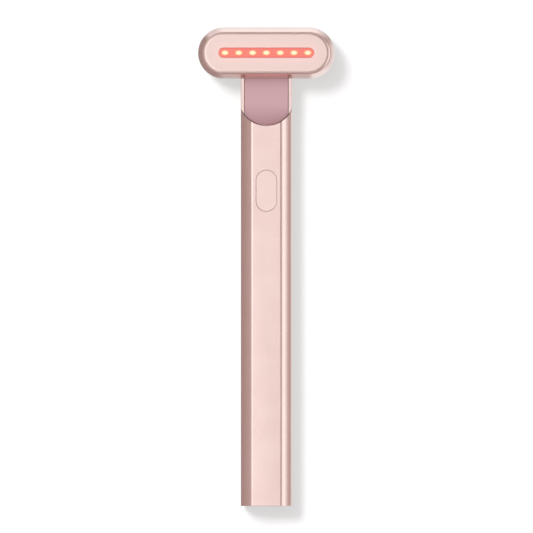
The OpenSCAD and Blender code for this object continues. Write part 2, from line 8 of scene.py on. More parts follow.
import bmesh
import bpy
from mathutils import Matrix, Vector

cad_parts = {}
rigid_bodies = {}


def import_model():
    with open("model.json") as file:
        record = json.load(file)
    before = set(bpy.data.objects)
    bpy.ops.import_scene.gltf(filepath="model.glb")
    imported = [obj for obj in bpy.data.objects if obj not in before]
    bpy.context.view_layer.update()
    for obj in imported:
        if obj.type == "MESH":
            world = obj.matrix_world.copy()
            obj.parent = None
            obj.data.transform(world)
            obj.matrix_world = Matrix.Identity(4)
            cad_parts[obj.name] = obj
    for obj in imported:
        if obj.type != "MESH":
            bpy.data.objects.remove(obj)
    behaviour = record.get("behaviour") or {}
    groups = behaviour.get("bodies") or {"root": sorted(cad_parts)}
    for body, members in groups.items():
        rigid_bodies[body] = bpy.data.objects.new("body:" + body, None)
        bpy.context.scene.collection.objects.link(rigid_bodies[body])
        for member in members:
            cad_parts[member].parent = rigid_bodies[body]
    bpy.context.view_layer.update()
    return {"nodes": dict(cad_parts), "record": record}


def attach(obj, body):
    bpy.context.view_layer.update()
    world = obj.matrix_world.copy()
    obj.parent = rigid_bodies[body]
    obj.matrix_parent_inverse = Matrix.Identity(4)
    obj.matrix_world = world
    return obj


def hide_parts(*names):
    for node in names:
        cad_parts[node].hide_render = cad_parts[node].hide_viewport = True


for leftover in list(bpy.data.objects):
    bpy.data.objects.remove(leftover)
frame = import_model()

log = logging.getLogger("wand")

MM = 0.001
WELD = 1e-7
NEAR = 1e-5
IMAGE_PIXELS = 533
BROAD_SCALE = 0.06
GRAIN_CONTRAST = 2.2
BLACK = (0.0, 0.0, 0.0, 1.0)
WHITE = (1.0, 1.0, 1.0, 1.0)
Point = tuple[float, float, float]
Colour = tuple[float, float, float]


class Body(Enum):
    """The bodies that the joints move."""

    HANDLE = "handle"
    NECK = "neck"
    BUTTON = "button"


class Grain(Enum):
    """How a finish breaks up the light on it: the stretch of its grain along x, y and z."""

    EVEN = (1.0, 1.0, 1.0)
    CROSSWISE = (0.1, 1.0, 1.0)


# Shader groups


def new_socket(group: bpy.types.NodeTree, name: str, kind: str, way: str) -> None:
    """Adds one socket to a node group.

    Args:
        group: the node group.
        name: the socket's name.
        kind: "Float", "Color" or "Vector".
        way: "INPUT" or "OUTPUT".
    """
    group.interface.new_socket(name=name, in_out=way, socket_type=f"NodeSocket{kind}")


class NodePen:
    """Places nodes in a tree and joins their sockets."""

    def __init__(self, tree: bpy.types.NodeTree) -> None:
        """Starts on a node tree."""
        self.tree = tree

    def put(self, kind: str, **settings: object) -> bpy.types.Node:
        """Adds a node.

        Args:
            kind: the node's type, without its "ShaderNode" prefix.
            settings: properties of the node; a name that is an input sets that input's value.

        Returns:
            The new node.
        """
        node = self.tree.nodes.new(kind if kind.startswith("Node") else f"ShaderNode{kind}")
        for key, value in settings.items():
            if hasattr(node, key):
                setattr(node, key, value)
            else:
                self.feed(node, key.replace("_", " "), value)
        return node

    def feed(self, node: bpy.types.Node, key: str | int, source: object) -> None:
        """Gives an input a value, or links it.

        Args:
            node: the node.
            key: the input's name or number.
            source: a value, an output socket, or a node whose first output is meant.
        """
        socket = node.inputs[key]
        if isinstance(source, bpy.types.Node):
            source = source.outputs[0]
        if isinstance(source, bpy.types.NodeSocket):
            self.tree.links.new(source, socket)
        else:
            socket.default_value = source

    def math(self, operation: str, first: object, second: object = 0.0,
             third: object = 0.0) -> bpy.types.NodeSocket:
        """Adds a Math node.

        Args:
            operation: the node's operation.
            first: its first input, a value or a socket.
            second: its second input.
            third: its third input.

        Returns:
            The result's socket.
        """
        node = self.put("Math", operation=operation)
        for index, source in enumerate((first, second, third)):
            self.feed(node, index, source)
        return node.outputs[0]

    def mix(self, factor: object, first: object, second: object) -> bpy.types.NodeSocket:
        """Mixes two colours.

        Args:
            factor: 0 for the first, 1 for the second.
            first: a colour or socket.
            second: a colour or socket.

        Returns:
            The mixed colour's socket.
        """
        node = self.put("Mix", data_type="RGBA")
        self.feed(node, 0, factor)
        self.feed(node, 6, first)
        self.feed(node, 7, second)
        return node.outputs[2]

    def axes(self, place: object) -> bpy.types.NodeOutputs:
        """Splits a place or a direction.

        Args:
            place: the vector.

        Returns:
            The sockets of its x, y and z.
        """
        node = self.put("SeparateXYZ")
        self.feed(node, 0, place)
        return node.outputs

    def span(self, first: object, second: object) -> bpy.types.NodeSocket:
        """Takes the length of a flat vector.

        Args:
            first: its one side.
            second: its other side.

        Returns:
            The length's socket.
        """
        return self.math("SQRT", self.math("ADD", self.math("MULTIPLY", first, first),
                                           self.math("MULTIPLY", second, second)))

    def fade(self, source: object, reach: tuple[float, float],
             levels: tuple[float, float] = (1.0, 0.0),
             curve: str = "SMOOTHSTEP") -> bpy.types.NodeSocket:
        """Adds a Map Range node.

        Args:
            source: the value to map.
            reach: where the change starts and ends.
            levels: the results at the start and at the end.
            curve: the way from one to the other.

        Returns:
            The result's socket.
        """
        node = self.put("MapRange", interpolation_type=curve)
        for index, value in enumerate((source, *reach, *levels)):
            self.feed(node, index, value)
        return node.outputs[0]


def rgba(colour: Colour) -> tuple[float, float, float, float]:
    """The colour with full alpha."""
    return (*colour, 1.0)


def surface_grain() -> bpy.types.NodeTree:
    """Builds the grain that every finish shares.

    Returns:
        A group that turns a place into a mottled colour, a roughness and a height.
    """
    group = bpy.data.node_groups.get("surface_grain")
    if group:
        return group
    group = bpy.data.node_groups.new("surface_grain", "ShaderNodeTree")
    for name, kind in (("Place", "Vector"), ("Scale", "Float"), ("Colour", "Color"),
                       ("Shade", "Color"), ("Mottle", "Float"), ("Roughness", "Float"),
                       ("Swing", "Float")):
        new_socket(group, name, kind, "INPUT")
    for name, kind in (("Colour", "Color"), ("Roughness", "Float"), ("Height", "Float")):
        new_socket(group, name, kind, "OUTPUT")
    pen = NodePen(group)
    given = pen.put("NodeGroupInput")
    fine = pen.put("TexNoise", Detail=3.0, Roughness=0.6)
    pen.feed(fine, "Vector", given.outputs["Place"])
    pen.feed(fine, "Scale", given.outputs["Scale"])
    broad = pen.put("TexNoise", Detail=2.0, Roughness=0.5)
    pen.feed(broad, "Vector", given.outputs["Place"])
    pen.feed(broad, "Scale", pen.math("MULTIPLY", given.outputs["Scale"], BROAD_SCALE))
    both = pen.math("ADD", pen.math("MULTIPLY", fine, 0.5), pen.math("MULTIPLY", broad, 0.5))
    centred = pen.math("SUBTRACT", both, 0.5)
    amount = pen.put("Clamp")
    pen.feed(amount, 0, pen.math("MULTIPLY_ADD", centred, GRAIN_CONTRAST, 0.5))
    colour = pen.mix(pen.math("MULTIPLY", amount, given.outputs["Mottle"]),
                     given.outputs["Colour"], given.outputs["Shade"])
    rough = pen.math("MULTIPLY_ADD", centred, given.outputs["Swing"], given.outputs["Roughness"])
    result = pen.put("NodeGroupOutput")
    pen.feed(result, "Colour", colour)
    pen.feed(result, "Roughness", rough)
    pen.feed(result, "Height", fine)
    return group


# Finishes


@dataclass(frozen=True)
class Finish:
    """A finish with a fine grain: its colours are linear and its lengths are in metres."""

    name: str
    slot: str
    colour: Colour
    shade: Colour
    mottle: float = 0.3
    metallic: float = 0.0
    roughness: float = 0.35
    swing: float = 0.06
    coat: float = 0.0
    coat_roughness: float = 0.1
    scale: float = 2200.0
    depth: float = 0.000004
    bump: float = 0.3
    grain: Grain = Grain.EVEN

    def material(self) -> bpy.types.Material:
        """Builds the material, or finds it if it is there already.

        Returns:
            The material.
        """
        found = bpy.data.materials.get(self.name)
        if found:
            return found
        made = bpy.data.materials.new(self.name)
        made.use_nodes = True
        made.node_tree.nodes.clear()
        pen = NodePen(made.node_tree)
        place = pen.put("TexCoord").outputs["Object"]
        shader = pen.put("BsdfPrincipled")
        self.lay_on(pen, place, shader)
        out = pen.put("OutputMaterial")
        pen.feed(out, "Surface", shader)
        return made

    def lay_on(self, pen: NodePen, place: bpy.types.NodeSocket, shader: bpy.types.Node) -> None:
        """Joins the grain to the shader.

        Args:
            pen: the material's node pen.
            place: the object coordinates.
            shader: the Principled shader.
        """
        stretched = pen.put("Mapping", Scale=self.grain.value)
        pen.feed(stretched, "Vector", place)
        grain = pen.put("Group", node_tree=surface_grain())
        pen.feed(grain, "Place", stretched)
        for name, value in (("Scale", self.scale), ("Colour", rgba(self.colour)),
                            ("Shade", rgba(self.shade)), ("Mottle", self.mottle),
                            ("Roughness", self.roughness), ("Swing", self.swing)):
            pen.feed(grain, name, value)
        bump = pen.put("Bump", Strength=self.bump, Distance=self.depth)
        pen.feed(bump, "Height", grain.outputs["Height"])
        pen.feed(shader, "Base Color", grain.outputs["Colour"])
        pen.feed(shader, "Roughness", grain.outputs["Roughness"])
        pen.feed(shader, "Normal", bump)
        pen.feed(shader, "Metallic", self.metallic)
        pen.feed(shader, "Coat Weight", self.coat)
        pen.feed(shader, "Coat Roughness", self.coat_roughness)


@dataclass(frozen=True)
class LitWindow(Finish):
    """Clear red window, lit from behind by a row of lamps in object coordinates."""

    glow: Colour = (0.88, 0.215, 0.172)
    rim_glow: Colour = (0.78, 0.165, 0.15)
    core: Colour = (1.0, 1.0, 0.70)
    halo: Colour = (1.0, 0.66, 0.30)
    lamps: int = 7
    pitch: float = 4.44 * MM
    row: float = 68.8 * MM
    spot: tuple[float, float] = (1.05 * MM, 0.70 * MM)
    rim: tuple[float, float] = (1.05 * MM, 1.55 * MM)
    halo_reach: tuple[float, float] = (0.85, 1.28)
    core_reach: tuple[float, float] = (0.3, 1.05)

    def lay_on(self, pen: NodePen, place: bpy.types.NodeSocket, shader: bpy.types.Node) -> None:
        """Joins the grain and the row of glowing spots to the shader.

        Args:
            pen: the material's node pen.
            place: the object coordinates.
            shader: the Principled shader.
        """
        super().lay_on(pen, place, shader)
        across, along, _ = pen.axes(place)
        last = (self.lamps - 1) / 2
        step = pen.math("ROUND", pen.math("DIVIDE", across, self.pitch))
        held = pen.math("MINIMUM", pen.math("MAXIMUM", step, -last), last)
        off_x = pen.math("SUBTRACT", across, pen.math("MULTIPLY", held, self.pitch))
        off_y = pen.math("SUBTRACT", along, self.row)
        far = pen.span(pen.math("DIVIDE", off_x, self.spot[0]),
                       pen.math("DIVIDE", off_y, self.spot[1]))
        edge = pen.fade(pen.math("ABSOLUTE", off_y), self.rim, (0.0, 1.0))
        base = pen.mix(edge, rgba(self.glow), rgba(self.rim_glow))
        for colour, reach in ((self.halo, self.halo_reach), (self.core, self.core_reach)):
            base = pen.mix(pen.fade(far, reach), base, rgba(colour))
        pen.feed(shader, "Emission Color", base)
        pen.feed(shader, "Emission Strength", 1.0)


@dataclass(frozen=True)
class LitPlate(Finish):
    """Satin metal with a painted glow of the window's red light round its slot."""

    painted_red_glow: Colour = (0.075, 0.012, 0.010)
    spine: float = 13.75 * MM
    row: float = 68.8 * MM
    reach: tuple[float, float] = (1.5 * MM, 4.8 * MM)

    def lay_on(self, pen: NodePen, place: bpy.types.NodeSocket, shader: bpy.types.Node) -> None:
        """Joins the grain and a painted red glow round the slot to the shader.

        Args:
            pen: the material's node pen.
            place: the object coordinates.
            shader: the Principled shader.
        """
        super().lay_on(pen, place, shader)
        across, along, _ = pen.axes(place)
        past = pen.math("MAXIMUM", pen.math("SUBTRACT", pen.math("ABSOLUTE", across),
                                            self.spine), 0.0)
        away = pen.span(past, pen.math("SUBTRACT", along, self.row))
        fall = pen.fade(away, self.reach, curve="SMOOTHERSTEP")
        # Painted light: an emitted red glow that fades with distance from the slot, standing in
        # for the window's light falling on the plate.
        pen.feed(shader, "Emission Color", pen.mix(fall, BLACK, rgba(self.painted_red_glow)))
        pen.feed(shader, "Emission Strength", 1.0)


@dataclass(frozen=True)
class SeamedMetal(Finish):
    """Lacquered metal with painted shade in a thin ring at the base of the round seam."""

    painted_seam_shade: Colour = (0.12, 0.05, 0.046)
    pivot: float = 54.25 * MM
    inner: float = 8.8 * MM
    outer: float = 9.02 * MM

    def lay_on(self, pen: NodePen, place: bpy.types.NodeSocket, shader: bpy.types.Node) -> None:
        """Joins the grain and the painted seam shade to the shader.

        Args:
            pen: the material's node pen.
            place: the object coordinates.
            shader: the Principled shader.
        """
        super().lay_on(pen, place, shader)
        across, along, _ = pen.axes(place)
        away = pen.span(across, pen.math("SUBTRACT", along, self.pivot))
        # Painted shade: a near-black ring between the inner and outer radii round the pivot,
        # where the seam gap lies in shade.
        seam_shade_ring = pen.math("MULTIPLY", pen.math("GREATER_THAN", away, self.inner),
                        pen.math("LESS_THAN", away, self.outer))
        plain = shader.inputs["Base Color"].links[0].from_socket
        pen.feed(shader, "Base Color", pen.mix(seam_shade_ring, plain, rgba(self.painted_seam_shade)))


@dataclass(frozen=True)
class InlayReflectionMoulding(Finish):
    """Lacquered moulding with a painted reflection of the mauve inlay where the neck joins the
    head, where it is also made less metallic.
    """

    painted_inlay_reflection: Colour = (0.95, 0.63, 0.58)
    soft: float = 0.75
    half_width: tuple[float, float] = (7.6 * MM, 9.8 * MM)
    reach: tuple[float, float] = (62.0 * MM, 62.5 * MM)
    rise: tuple[float, float] = (10.4 * MM, 13.2 * MM)

    def lay_on(self, pen: NodePen, place: bpy.types.NodeSocket, shader: bpy.types.Node) -> None:
        """Joins the grain, the painted inlay reflection and the lower metallic there to the
        shader.

        Args:
            pen: the material's node pen.
            place: the object coordinates.
            shader: the Principled shader.
        """
        super().lay_on(pen, place, shader)
        across, along, up = pen.axes(place)
        # Painted reflection: a pinkish tint on the rim just above the neck, standing in for the
        # inlay mirrored in it.
        painted_reflection_mask = pen.math("MULTIPLY", pen.fade(pen.math("ABSOLUTE", across), self.half_width),
                        pen.fade(along, self.reach))
        plain = shader.inputs["Base Color"].links[0].from_socket
        pen.feed(shader, "Base Color", pen.mix(painted_reflection_mask, plain, rgba(self.painted_inlay_reflection)))
        # Towards the bottom of that patch the shell is made partly diffuse, so it catches more
        # lamp light.
        low = pen.math("MULTIPLY", painted_reflection_mask, pen.fade(up, self.rise))
        pen.feed(shader, "Metallic", pen.math("MULTIPLY_ADD", low, -self.soft, self.metallic))


# ROSE_METAL paints shade in a thin ring round the base of the handle's round seam.
ROSE_METAL = SeamedMetal("rose_metal_lacquer", "rose_metal", (0.945, 0.758, 0.712),
                         (0.875, 0.680, 0.634), metallic=1.0, roughness=0.18, scale=1500.0,
                         mottle=0.9, bump=0.22, swing=0.04)
LACQUER = {"colour": (0.920, 0.737, 0.692), "shade": (0.885, 0.695, 0.652), "metallic": 1.0,
           "roughness": 0.18, "scale": 2600.0, "mottle": 0.2, "bump": 0.15, "swing": 0.03}
# ROSE_SHELL carries the painted inlay reflection on the head's rim above the neck.
ROSE_SHELL = InlayReflectionMoulding("rose_shell_lacquer", "rose_moulding", **LACQUER)
ROSE_MOULDING = Finish("rose_moulding_lacquer", "rose_moulding", **LACQUER)
# ROSE_PLATE carries a painted red glow round the light slot.
ROSE_PLATE = LitPlate("rose_satin_plate", "rose_plate", (0.945, 0.765, 0.720),
                      (0.91, 0.727, 0.682), metallic=1.0, roughness=0.2, scale=1800.0,
                      mottle=0.2, grain=Grain.CROSSWISE, bump=0.1, swing=0.05)
MAUVE_INLAY = Finish("mauve_gloss_inlay", "mauve_inlay", (0.600, 0.394, 0.427),
                     (0.575, 0.371, 0.403), mottle=0.15, roughness=0.32, coat=0.3,
                     coat_roughness=0.15, scale=1500.0, bump=0.08)
RED_WINDOW = LitWindow("red_lit_window", "red_window", (0.06, 0.008, 0.007),
                       (0.04, 0.006, 0.006), roughness=0.25, scale=900.0, bump=0.05)
LAMP = Finish("lamp_lens", "lamp", (0.95, 0.82, 0.5), (0.9, 0.7, 0.4), roughness=0.3,
              scale=3000.0)
BRASS = Finish("turned_brass", "brass", (0.60, 0.40, 0.13), (0.5, 0.32, 0.1), metallic=1.0,
               roughness=0.3, scale=3000.0, grain=Grain.CROSSWISE)
STEEL = Finish("plain_steel", "steel", (0.56, 0.56, 0.58), (0.46, 0.46, 0.48), metallic=1.0,
               roughness=0.3, scale=2600.0, grain=Grain.CROSSWISE)
CELL_FOIL = Finish("cell_foil", "cell_foil", (0.58, 0.59, 0.62), (0.5, 0.51, 0.54), metallic=1.0,
                   roughness=0.42, scale=700.0, bump=0.5, depth=0.00001)
BOARD = Finish("board_resist", "board", (0.012, 0.10, 0.045), (0.02, 0.15, 0.07), roughness=0.35,
               scale=1300.0, coat=0.3)
DARK_PLASTIC = Finish("dark_moulding", "dark_plastic", (0.012, 0.012, 0.014),
                      (0.02, 0.02, 0.022), roughness=0.55, scale=2500.0)
PALE_PLASTIC = Finish("pale_moulding", "pale_plastic", (0.72, 0.69, 0.64), (0.66, 0.63, 0.58),
                      roughness=0.5, scale=1800.0)
RUBBER = Finish("soft_rubber", "rubber", (0.022, 0.019, 0.019), (0.035, 0.03, 0.03),
                roughness=0.8, scale=1600.0, depth=0.00001)
WIRE = Finish("sleeved_wire", "wire", (0.35, 0.02, 0.018), (0.28, 0.015, 0.014), roughness=0.45,
              scale=1800.0)
FILM = Finish("amber_film", "film", (0.42, 0.16, 0.03), (0.34, 0.12, 0.02), roughness=0.3,
              scale=1200.0, coat=0.4)

FINISHES = {finish.slot: finish for finish in (
    ROSE_METAL, ROSE_MOULDING, ROSE_PLATE, MAUVE_INLAY, RED_WINDOW, LAMP, BRASS, STEEL,
    CELL_FOIL, BOARD, DARK_PLASTIC, PALE_PLASTIC, RUBBER, WIRE, FILM)}


# Mesh building


@dataclass(frozen=True)
class Ring:
    """A stadium outline at one height: half of its spine, its end radius and z, in mm."""

    spine: float
    radius: float
    z: float


@dataclass(frozen=True)
class StadiumLoft:
    """A body whose skin runs through a row of stadium rings about one centre, in mm."""

    centre: tuple[float, float]
    rings: tuple[Ring, ...]
    upright: bool = False
    arc_steps: int = 32
    side_steps: int = 16
    crease: float = 180.0

    def outline(self, ring: Ring) -> list[Point]:
        """Lays out one ring.

        Args:
            ring: the ring.

        Returns:
            Its points in metres, anticlockwise from the lower right.
        """
        flat: list[tuple[float, float]] = []
        for side in (1, -1):
            for step in range(self.arc_steps + 1):
                angle = math.pi * (step / self.arc_steps - 0.5)
                flat.append((side * (ring.spine + ring.radius * math.cos(angle)),
                             side * ring.radius * math.sin(angle)))
            for step in range(1, self.side_steps):
                run = ring.spine * (1 - 2 * step / self.side_steps)
                flat.append((side * run, side * ring.radius))
        if self.upright:
            flat = [(-y, x) for x, y in flat]
        return [((self.centre[0] + x) * MM, (self.centre[1] + y) * MM, ring.z * MM)
                for x, y in flat]

    def mesh(self, name: str, joined: bool = False) -> bpy.types.Object:
        """Builds the skin.

        Args:
            name: the object's name.
            joined: True where the last ring meets the first, False to close both ends.

        Returns:
            The new object.
        """
        work = bmesh.new()
        rows = [[work.verts.new(p) for p in self.outline(ring)] for ring in self.rings]
        count = len(rows[0])
        pairs = list(zip(rows, rows[1:]))
        if joined:
            pairs.append((rows[-1], rows[0]))
        for low, high in pairs:
            for i in range(count):
                j = (i + 1) % count
                work.faces.new((low[i], low[j], high[j], high[i]))
        if not joined:
            self.close(work, rows[0], False)
            self.close(work, rows[-1], True)
        return finish_mesh(work, name, crease=self.crease)

    def close(self, work: bmesh.types.BMesh, row: list[bmesh.types.BMVert], up: bool) -> None:
        """Closes a ring with strips that run across it.

        Args:
            work: the mesh in work.
            row: the ring's vertices.
            up: True where the closed side looks up.
        """
        count = len(row)
        middle = self.arc_steps // 2
        front = [row[(middle + k) % count] for k in range(count // 2 + 1)]
        back = [row[(middle - k) % count] for k in range(count // 2 + 1)]
        for k in range(len(front) - 1):
            corners = [back[k], front[k], front[k + 1], back[k + 1]]
            corners = [v for n, v in enumerate(corners) if v not in corners[:n]]
            if not up:
                corners.reverse()
            work.faces.new(corners)


def finish_mesh(work: bmesh.types.BMesh, name: str, bias: int = 50,
                crease: float = 180.0) -> bpy.types.Object:
    """Turns a mesh in work into a smooth object with weighted normals.

    Args:
        work: the mesh in work, which is freed.
        name: the object's name.
        bias: how much the large faces lead the normals, from 1 to 100.
        crease: the angle in degrees from which an edge stays sharp; 180 keeps none.

    Returns:
        The new object.
    """
    bmesh.ops.remove_doubles(work, verts=work.verts, dist=WELD)
    bmesh.ops.recalc_face_normals(work, faces=work.faces)
    for face in work.faces:
        face.smooth = True
    mesh = bpy.data.meshes.new(name)
    work.to_mesh(mesh)
    work.free()
    if crease < 180:
        mesh.set_sharp_from_angle(angle=math.radians(crease))
    made = bpy.data.objects.new(name, mesh)
    bpy.context.scene.collection.objects.link(made)
    normals = made.modifiers.new("even_flats", "WEIGHTED_NORMAL")
    normals.keep_sharp = True
    normals.weight = bias
    return made


def fillet(spine: float, radius: float, z: float, size: float,
           turn: tuple[int, int], steps: int, inward: bool = False) -> list[Ring]:
    """Rings round a convex edge.

    Args:
        spine: half of the spine.
        radius: the ring radius at the sharp corner.
        z: the height of the sharp corner.
        size: the edge radius.
        turn: signs of the outward direction in radius and in z.
        steps: the number of steps round the edge.
        inward: True to run from the flat to the wall, False from the wall to the flat.

    Returns:
        The rings in order.
    """
    rings = []
    for step in range(steps + 1):
        angle = math.pi / 2 * step / steps
        side, face = math.cos(angle), math.sin(angle)
        rings.append(Ring(spine, radius - turn[0] * size * (1 - side),
                          z - turn[1] * size * (1 - face)))
    return rings[::-1] if inward else rings


@dataclass(frozen=True)
class SoftenedCopy:
    """A CAD node's own mesh with its sharp edges rounded; the lengths are in mm."""

    node: str
    edge: float = 0.06
    steps: int = 3
    sharp: float = 32.0
    flat: float = 0.5
    cuts: int = 3
    circles: tuple[tuple[float, float, float], ...] = ()
    tail: float = 0.0
    tail_y: float = -77.0
    tail_steps: int = 4
    axis_z: float = 6.0

    def smooth_circle(self, work: bmesh.types.BMesh, circle: tuple[float, float, float]) -> None:
        """Divides the chords of an upright cylinder and moves the new corners onto it.

        Args:
            work: the mesh in work.
            circle: the cylinder's x, y and radius.
        """
        centre = Vector((circle[0] * MM, circle[1] * MM, 0.0))
        radius = circle[2] * MM

        def spoke(vert: bmesh.types.BMVert) -> Vector:
            """The way from the cylinder's axis to a corner."""
            return Vector((vert.co.x - centre.x, vert.co.y - centre.y, 0.0))

        chords = [e for e in work.edges
                  if all(abs(spoke(v).length - radius) < NEAR for v in e.verts)
                  and (spoke(e.verts[0]) - spoke(e.verts[1])).length > NEAR]
        made = bmesh.ops.subdivide_edges(work, edges=chords, cuts=self.cuts, use_grid_fill=True)
        for vert in made["geom_inner"]:
            if isinstance(vert, bmesh.types.BMVert):
                spot = spoke(vert).normalized() * radius
                vert.co.x, vert.co.y = centre.x + spot.x, centre.y + spot.y

    def round_tail(self, work: bmesh.types.BMesh) -> None:
        """Rounds the outer edge of the far end.

        Args:
            work: the mesh in work.
        """
        def outward(edge: bmesh.types.BMEdge) -> bool:
            """Tells an edge of the outer outline from one of the bore."""
            middle = (edge.verts[0].co + edge.verts[1].co) / 2
            return any(middle.x * face.normal.x
                       + (middle.z - self.axis_z * MM) * face.normal.z > 1e-3
                       for face in edge.link_faces)

        rim = [e for e in work.edges
               if all(abs(v.co.y - self.tail_y * MM) < 1e-6 for v in e.verts) and outward(e)]
        self.bevel(work, rim, self.tail, self.tail_steps)

    def bevel(self, work: bmesh.types.BMesh, edges: list[bmesh.types.BMEdge], size: float,
              steps: int) -> None:
        """Rounds edges.

        Args:
            work: the mesh in work.
            edges: the edges.
            size: how far the rounding reaches from an edge, in mm.
            steps: the number of faces across it.
        """
        bmesh.ops.bevel(work, geom=edges, offset=size * MM, offset_type="OFFSET",
                        segments=steps, profile=0.5, affect="EDGES", clamp_overlap=True)

    def mesh(self, name: str) -> bpy.types.Object:
        """Builds the rounded mesh.

        Args:
            name: the object's name.

        Returns:
            The new object.
        """
        work = bmesh.new()
        work.from_mesh(frame["nodes"][self.node].data)
        bmesh.ops.remove_doubles(work, verts=work.verts, dist=WELD)
        bmesh.ops.dissolve_limit(work, angle_limit=math.radians(self.flat), verts=work.verts,
                                 edges=work.edges)
        for circle in self.circles:
            self.smooth_circle(work, circle)
        if self.tail:
            self.round_tail(work)
        limit = math.radians(self.sharp)
        edges = [e for e in work.edges if len(e.link_faces) == 2
                 and e.calc_face_angle(0.0) > limit]
        self.bevel(work, edges, self.edge, self.steps)
        for vert in work.verts:
            vert.co.z = max(vert.co.z, 0.0)
        return finish_mesh(work, name, bias=100)


# Pieces


def settle(piece: bpy.types.Object, finish: Finish, body: Body, *nodes: str) -> None:
    """Dresses a piece and hangs it in the frame.

    Args:
        piece: the piece.
        finish: what it is made of.
        body: the body that carries it.
        nodes: the CAD nodes that it stands for.
    """
    piece.data.materials.clear()
    piece.data.materials.append(finish.material())
    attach(piece, body.value)
    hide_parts(*nodes)
    log.info("%s rides on %s", piece.name, body.value)


@dataclass
class Handle:
    """The drawn tube; the rest of the handle keeps its CAD shape."""

    tail: float = 0.12
    circles: tuple[tuple[float, float, float], ...] = ((0.0, 27.75, 3.4), (0.0, 21.15, 3.4),
                                                       (0.0, 54.25, 9.0))
    tube: bpy.types.Object | None = None

    def build(self) -> None:
        """Builds the tube with rounded edges."""
        copy = SoftenedCopy("handle_tube", circles=self.circles, tail=self.tail)
        self.tube = copy.mesh("drawn_tube")

    def dress(self) -> None:
        """Gives the tube its lacquer."""
        settle(self.tube, ROSE_METAL, Body.HANDLE, "handle_tube")


@dataclass
class Neck:
    """The neck's frame and its mauve inlay; lengths in mm."""

    pivot: float = 54.25
    half_width: float = 6.99
    top: float = 9.5
    head_side: float = 60.68
    seam: float = 8.62
    seam_close: float = 0.22
    roll_start: float = 52.75
    roll_radius: float = 18.0
    roll_turn: float = 12.2
    end_radius: float = 10.0
    edge: float = 0.12
    edge_steps: int = 4
    lip: float = 7.42
    underside: float = 8.6
    least_depth: float = 0.3
    flange: float = 0.12
    flange_seam: float = 8.92
    flange_side: float = 7.17
    flange_from: float = 4.75
    columns: int = 72
    rows: int = 60
    crowding: float = 1.3
    crease: float = 50.0
    pieces: dict[str, bpy.types.Object] = field(default_factory=dict)

    def height(self, y: float) -> float:
        """Gives the inlay's height: flat, then a wide arc and a tighter one.

        Args:
            y: the place along the wand.

        Returns:
            The height there.
        """
        run = max(0.0, self.roll_start - y)
        turn = math.radians(self.roll_turn)
        radius, low = self.roll_radius, self.top
        if run > radius * math.sin(turn):
            run += (self.end_radius - radius) * math.sin(turn)
            low += (self.end_radius - radius) * (1 - math.cos(turn))
            radius = self.end_radius
        return low - radius + math.sqrt(radius ** 2 - run ** 2)

    def flange_point(self, vert: bmesh.types.BMVert, on_seam: bool) -> Point:
        """Places the outer edge of the inlay's flange, in mm.

        Args:
            vert: a vertex on the rim of the underside.
            on_seam: True along the curved seam.

        Returns:
            The flange's edge beside it.
        """
        x, y, z = (value / MM for value in vert.co)
        if not on_seam:
            return math.copysign(self.flange_side, x) if abs(x) > self.flange_from else x, y, z
        grow = self.flange_seam / math.hypot(x, y - self.pivot)
        wide = max(-self.flange_side, min(self.flange_side, x * grow))
        return wide, self.pivot + (y - self.pivot) * grow, z

    def inlay(self) -> bpy.types.Object:
        """Builds the inlay as a closed grid that follows the curved seam.

        Returns:
            The new object.
        """
        work = bmesh.new()
        turns = [math.pi / 2 * k / self.edge_steps for k in range(self.edge_steps)]
        corner = [self.edge * (1 - math.cos(turn)) for turn in turns]
        drop = [self.edge * (1 - math.sin(turn)) for turn in turns]
        inner = self.half_width - self.edge
        xs = [-self.half_width + c for c in corner]
        xs += [-inner + 2 * inner * k / self.columns for k in range(self.columns + 1)]
        xs += [self.half_width - c for c in reversed(corner)]
        falls = drop + [0.0] * (self.columns + 1) + drop[::-1]
        lows = drop + [0.0] * (self.rows + 1)
        tops, bottoms = [], []
        for x, fall in zip(xs, falls):
            start = self.pivot - math.sqrt(self.seam ** 2 - x * x)
            start -= self.seam_close * (x / self.half_width) ** 2
            ys = [start + c for c in corner]
            first = start + self.edge
            ys += [first + (self.head_side - first) * (k / self.rows) ** self.crowding
                   for k in range(self.rows + 1)]
            top_row, bottom_row = [], []
            for y, low in zip(ys, lows):
                z = self.height(y) - max(low, fall)
                under = min(self.underside, z - self.least_depth)
                top_row.append(work.verts.new((x * MM, y * MM, z * MM)))
                bottom_row.append(work.verts.new((x * MM, y * MM, under * MM)))
            bottom_row[0].co.z = self.lip * MM
            tops.append(top_row)
            bottoms.append(bottom_row)
        for rows in (tops, bottoms):
            for left, right in zip(rows, rows[1:]):
                for k in range(len(left) - 1):
                    work.faces.new((left[k], right[k], right[k + 1], left[k + 1]))
        rims = [[row[0] for row in grid] + grid[-1][1:]
                + [row[-1] for row in grid[-2::-1]] + grid[0][-2:0:-1]
                for grid in (bottoms, tops)]
        edge = [self.flange_point(vert, index < len(tops)) for index, vert in enumerate(rims[0])]
        for rise in (self.flange, 0.0):
            reach = edge if rise == 0.0 else [(v.co.x / MM, v.co.y / MM, v.co.z / MM)
                                              for v in rims[0]]
            rims.insert(1, [work.verts.new((x * MM, y * MM, (z + self.flange) * MM))
                            for x, y, z in reach])
        for low, high in zip(rims, rims[1:]):
            for k in range(len(low)):
                n = (k + 1) % len(low)
                work.faces.new((low[k], low[n], high[n], high[k]))
        return finish_mesh(work, "mauve_inlay", crease=self.crease)

    def build(self) -> None:
        """Builds the frame and the inlay."""
        self.pieces["frame"] = SoftenedCopy("neck_frame").mesh("neck_rails")
        self.pieces["inlay"] = self.inlay()

    def dress(self) -> None:
        """Gives both their finishes."""
        settle(self.pieces["frame"], ROSE_MOULDING, Body.NECK, "neck_frame")
        settle(self.pieces["inlay"], MAUVE_INLAY, Body.NECK, "neck_cover")


